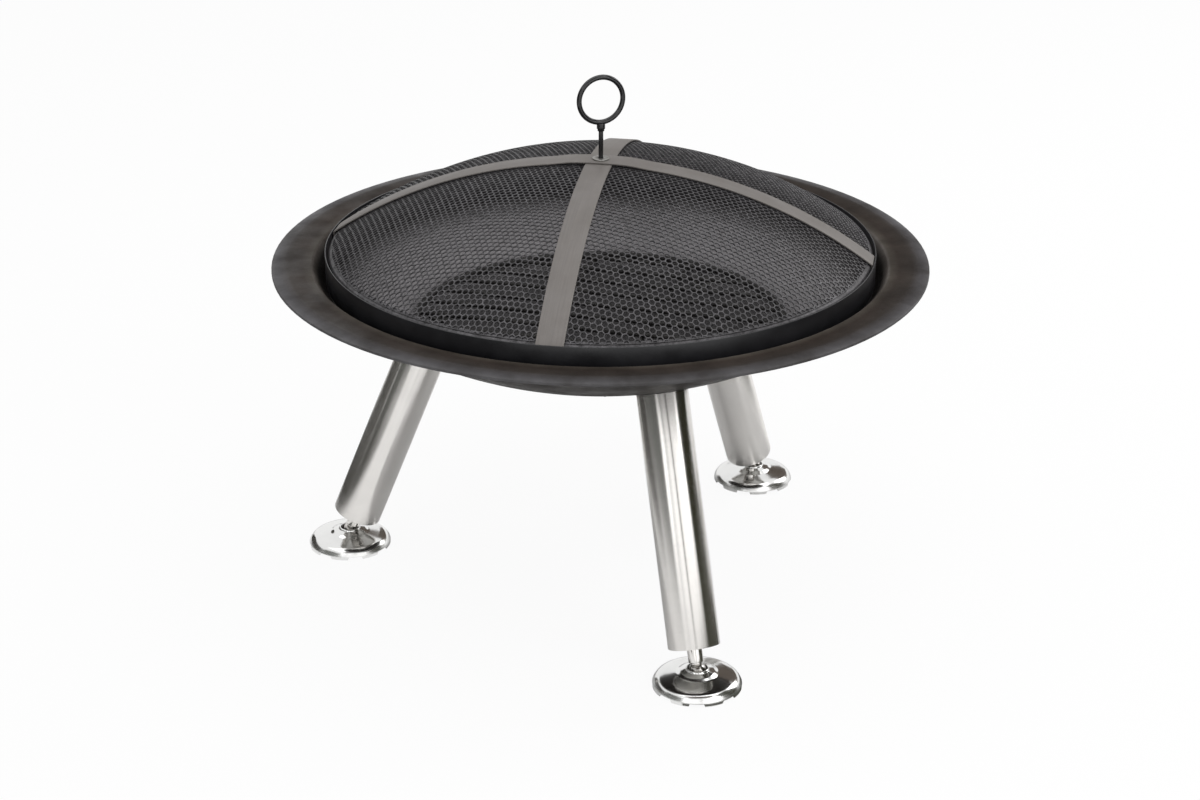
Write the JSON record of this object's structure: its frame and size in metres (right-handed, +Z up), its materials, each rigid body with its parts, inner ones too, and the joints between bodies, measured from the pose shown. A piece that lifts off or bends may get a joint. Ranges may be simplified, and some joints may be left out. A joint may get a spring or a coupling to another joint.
{
  "type": "fire bowl",
  "caption": "Round steel fire bowl on raked tube legs with swivel levelling feet, an inner log grate and a lift-off domed mesh spark screen with a ring handle.",
  "frame": {"origin": "centre of the overall box at floor level, on the bowl's axis", "axes": "+Z up; one leg points along -Y and the other two at 30 and 150 degrees from +X"},
  "size_m": [0.7, 0.7, 0.5689],
  "materials": {
    "bowl_paint": "matt high-heat black with a warm cast",
    "tube_steel": "satin polished stainless",
    "stem_steel": "bright plated",
    "disc_chrome": "polished",
    "insert_plastic": "black moulded",
    "fastener_steel": "zinc plated",
    "grate_steel": "black, dull",
    "hoop_paint": "satin black",
    "net_steel": "black wire mesh with worn highlights",
    "strap_steel": "brushed, warm grey",
    "handle_paint": "gloss black"
  },
  "bodies": {
    "base": {"bowl": "bowl_paint", "leg_tube_front": "tube_steel", "leg_top_plate_front": "fastener_steel", "leg_washer_front": "fastener_steel", "leg_bolt_front": "fastener_steel", "leg_end_plug_front": "fastener_steel", "leg_tube_right": "tube_steel", "leg_top_plate_right": "fastener_steel", "leg_washer_right": "fastener_steel", "leg_bolt_right": "fastener_steel", "leg_end_plug_right": "fastener_steel", "leg_tube_left": "tube_steel", "leg_top_plate_left": "fastener_steel", "leg_washer_left": "fastener_steel", "leg_bolt_left": "fastener_steel", "leg_end_plug_left": "fastener_steel"},
    "grate": {"log_grate": "grate_steel"},
    "screen": {"screen_hoop": "hoop_paint", "screen_net": "net_steel", "screen_strap_lower": "strap_steel", "screen_strap_upper": "strap_steel", "ring_handle": "handle_paint", "handle_washer_top": "fastener_steel", "handle_washer_bottom": "fastener_steel", "handle_nut": "fastener_steel"},
    "stem_front": {"foot_stem_front": "stem_steel"},
    "foot_front": {"foot_disc_front": "disc_chrome", "foot_insert_front": "insert_plastic"},
    "stem_right": {"foot_stem_right": "stem_steel"},
    "foot_right": {"foot_disc_right": "disc_chrome", "foot_insert_right": "insert_plastic"},
    "stem_left": {"foot_stem_left": "stem_steel"},
    "foot_left": {"foot_disc_left": "disc_chrome", "foot_insert_left": "insert_plastic"}
  },
  "joints": [
    {"name": "screen_lift", "type": "slide", "parent": "base", "child": "screen", "axis": [0, 0, 1], "range_m": [0, 0.2]},
    {"name": "grate_lift", "type": "slide", "parent": "base", "child": "grate", "axis": [0, 0, 1], "range_m": [0, 0.1]},
    {"name": "level_front", "type": "slide", "parent": "base", "child": "stem_front", "axis": [0, 0.373, 0.9278], "range_m": [-0.01, 0.014]},
    {"name": "swivel_front", "type": "hinge", "parent": "stem_front", "child": "foot_front", "pos_m": [0, -0.29048, 0.0149], "axis": [1, 0, 0], "range_deg": [-46, 3]},
    {"name": "level_right", "type": "slide", "parent": "base", "child": "stem_right", "axis": [-0.323, -0.1865, 0.9278], "range_m": [-0.01, 0.014]},
    {"name": "swivel_right", "type": "hinge", "parent": "stem_right", "child": "foot_right", "pos_m": [0.25156, 0.14524, 0.0149], "axis": [-0.5, 0.866, 0], "range_deg": [-46, 3]},
    {"name": "level_left", "type": "slide", "parent": "base", "child": "stem_left", "axis": [0.323, -0.1865, 0.9278], "range_m": [-0.01, 0.014]},
    {"name": "swivel_left", "type": "hinge", "parent": "stem_left", "child": "foot_left", "pos_m": [-0.25156, 0.14524, 0.0149], "axis": [-0.5, -0.866, 0], "range_deg": [-46, 3]}
  ]
}
